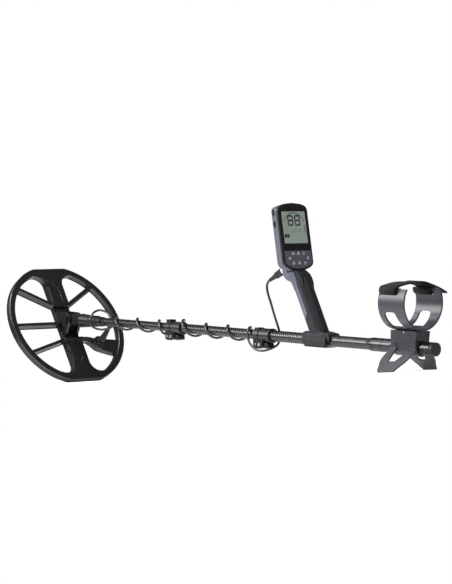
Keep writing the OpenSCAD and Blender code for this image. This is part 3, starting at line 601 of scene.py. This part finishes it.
makeKeyPrints()
print("display and keys made")

strap = {
    "front": 985, "rear": 1025,
    "thick": 3.1, "rolled": 5.4,
    "archCentre": -29.3, "archRadius": 143.2,
    "bar": (41.9, 101.2), "loop": 6.2,
}


# A band of woven tape along a line in Y and Z, with one thickness for each point of the line
def bandAlong(line, thick, front, rear, edge=0.9):
    points, faces, count = [], [], 8
    for i, (y, z) in enumerate(line):
        half = thick[i] / 2
        outline = [(front + edge, -half), (front, -half + edge), (front, half - edge), (front + edge, half),
                   (rear - edge, half), (rear, half - edge), (rear, -half + edge), (rear - edge, -half)]
        (ya, za), (yb, zb) = line[max(i - 1, 0)], line[min(i + 1, len(line) - 1)]
        size = math.hypot(yb - ya, zb - za)
        ny, nz = -(zb - za) / size, (yb - ya) / size
        points += [(x, y + ny * h, z + nz * h) for x, h in outline]
    for i in range(len(line) - 1):
        for k in range(count):
            a, b = i * count + k, i * count + (k + 1) % count
            faces.append([a, b, b + count, a + count])
    faces += [list(reversed(range(count))), [(len(line) - 1) * count + k for k in range(count)]]
    return points, faces


def makeStrap():
    barY, barZ = strap["bar"]
    radius, loop = strap["archRadius"], strap["loop"]
    reach = math.asin(barY / radius)
    arch, loopLeft = [], []
    for i in range(21):
        a = reach * (-0.93 + 1.86 * i / 20)
        arch.append((radius * math.sin(a), strap["archCentre"] + radius * math.cos(a)))
    for degrees in range(390, 110, -20):
        a = math.radians(degrees)
        loopLeft.append((-barY + loop * math.cos(a), barZ + loop * math.sin(a)))
    loopRight = [(-y, z) for y, z in reversed(loopLeft)]
    line = loopLeft + arch + loopRight
    ends = len(loopLeft)
    thick = [strap["rolled"]] * ends + [strap["thick"]] * len(arch) + [strap["rolled"]] * ends
    thick[ends] = thick[-ends - 1] = (strap["rolled"] + strap["thick"]) / 2
    band = bandAlong(line, thick, strap["front"], strap["rear"])
    tailLine = [(6, 113.4), (12, 113.7), (18, 114.5), (24, 115.2), (32, 113.4), (40, 111),
                (48, 108.6), (56, 106), (64, 103), (72, 99.6), (80, 95.8), (81.6, 94.6)]
    tail = bandAlong(tailLine, [2.9] * len(tailLine), strap["front"] + 0.4, strap["rear"] - 0.4)
    shift = len(band[0])
    points = band[0] + tail[0]
    faces = band[1] + [[i + shift for i in face] for face in tail[1]]
    piece = addPiece("strapWebbing", points, faces, onShaft, "woven nylon", "armrest", 50)
    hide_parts("strap")


makeStrap()
print("strap made")

nodeFinish = {
    "coil nylon": ["coil_shell"],
    "skid polycarbonate": ["skid_cover"],
    "winding copper": ["transmit_winding", "receive_winding"],
    "lever nylon": ["yoke", "hand_nut", "pivot_bolt", "front_cam_lever", "rear_cam_lever", "sleeve_flare"],
    "lock nylon": ["front_cam_collar", "rear_cam_collar"],
    "black rubber": ["coil_boot", "pivot_washers", "lower_plug", "middle_plug", "pod_gasket", "speaker",
                     "headphone_socket", "cable_plug", "end_cap"],
    "lower carbon": ["lower_tube"],
    "middle carbon": ["middle_tube"],
    "upper carbon": ["upper_tube"],
    "sleeve carbon": ["rear_sleeve"],
    "pin steel": ["front_cam_pins", "rear_cam_pins", "case_screws", "armrest_screws"],
    "socket aluminium": ["coil_socket"],
    "grip painted light and shade": ["grip_shell_left", "grip_shell_right"],
    "grip back rubber": ["saddle_cap"],
    "saddle nylon": ["grip_saddle"],
    "cell wrap": ["battery_cell"],
    "pod front ABS": ["pod_front_case", "power_button", "side_button"],
    "pod rear ABS": ["pod_rear_case"],
    "lcd glass": ["display_module"],
    "board epoxy": ["circuit_board"],
    "keypad silicone": ["keypad_panel", "keypad_mat"],
    "key silicone": ["key_%d" % i for i in range(1, 9)],
    "armrest nylon": ["armrest_stand"],
    "cuff nylon": ["armrest_cuff"],
    "window print": ["display_window"],
    "woven nylon": ["strap"],
    "cable jacket": ["coil_lead", "lower_wrap", "middle_wrap", "cable_tail"],
}
for material, names in nodeFinish.items():
    for name in names:
        slots = nodes[name].data.materials
        slots.clear()
        slots.append(finish[material])
print("finishes given to the carried-over parts")

# Lights in shaft millimetres, their sizes in metres. The surround is white where the camera sees it, and
# dim as a light, so that black parts stay black. The floor fades out between two radii in metres.
studio = {
    "lights": [
        {"name": "keySoftbox", "spot": (-1500, -2300, 1300), "aim": (500, 0, 60),
         "size": (1.3, 1.3), "power": 105},
        {"name": "topSoftbox", "spot": (450, -500, 1700), "aim": (480, 0, 40),
         "size": (2.6, 0.35), "power": 58},
        {"name": "sideStrip", "spot": (2000, -3300, 800), "aim": (600, 0, 80),
         "size": (0.5, 1.8), "power": 22},
        {"name": "cameraFill", "spot": (2900, -1700, 900), "aim": (400, 0, 60),
         "size": (1.4, 1.4), "power": 4},
    ],
    "surround": 0.17,
    "floor": ("#f4f4f4", "#fafafa"),
    "floorHalf": 12,
    "floorFade": (0.62, 1.1),
}


def makeSurround():
    world = bpy.data.worlds.new("studio")
    world.use_nodes = True
    tree = world.node_tree
    tree.nodes.clear()
    seen = addNode(tree, "ShaderNodeLightPath")
    strength = addNode(tree, "ShaderNodeMapRange", values={3: studio["surround"], 4: 1},
                       links={0: (seen, "Is Camera Ray")})
    backdrop = addNode(tree, "ShaderNodeBackground", values={"Color": (1, 1, 1, 1)},
                       links={"Strength": strength})
    addNode(tree, "ShaderNodeOutputWorld", links={"Surface": backdrop})
    bpy.context.scene.world = world


def makeLights():
    for light in studio["lights"]:
        data = bpy.data.lights.new(light["name"], "AREA")
        data.shape = "RECTANGLE"
        data.size, data.size_y = light["size"]
        data.energy = light["power"]
        lamp = bpy.data.objects.new(light["name"], data)
        bpy.context.scene.collection.objects.link(lamp)
        spot, aim = onShaft @ Vector(light["spot"]), onShaft @ Vector(light["aim"])
        lamp.location = spot
        lamp.rotation_mode = "QUATERNION"
        lamp.rotation_quaternion = (aim - spot).to_track_quat("-Z", "Y")


# Matt paper: white and a little uneven, with no gloss
def mattPaper(name):
    material, tree = startMaterial(name)
    place = addNode(tree, "ShaderNodeTexCoord")
    cloud = addNode(tree, "ShaderNodeTexNoise", values={"Scale": 1000 / 300, "Detail": 3, "Roughness": 0.55},
                    links={"Vector": (place, "Object")})
    first, second = studio["floor"]
    colour = addNode(tree, "ShaderNodeMix", {"data_type": "RGBA"}, {6: linear(first), 7: linear(second)},
                     {0: cloud})
    away = addNode(tree, "ShaderNodeVectorMath", {"operation": "LENGTH"}, links={0: (place, "Object")})
    near, far = studio["floorFade"]
    shown = addNode(tree, "ShaderNodeMapRange", {"interpolation_type": "SMOOTHSTEP"},
                    {1: near, 2: far, 3: 1, 4: 0}, {0: (away, "Value")})
    closeMaterial(tree, {"Roughness": 0.95, "Specular IOR Level": 0.1,
                         "Emission Color": (1, 1, 1, 1), "Emission Strength": 0.3},
                  {"Base Color": (colour, 2), "Alpha": shown})
    return material


def makeFloor():
    half = studio["floorHalf"]
    mesh = bpy.data.meshes.new("floor")
    corners = [(-half, -half, 0), (half, -half, 0), (half, half, 0), (-half, half, 0)]
    mesh.from_pydata(corners, [], [[0, 1, 2, 3]])
    floor = bpy.data.objects.new("floor", mesh)
    bpy.context.scene.collection.objects.link(floor)
    mesh.materials.append(mattPaper("matt paper"))


bpy.context.scene.view_settings.view_transform = "Standard"
makeSurround()
makeLights()
makeFloor()
print("studio lit")
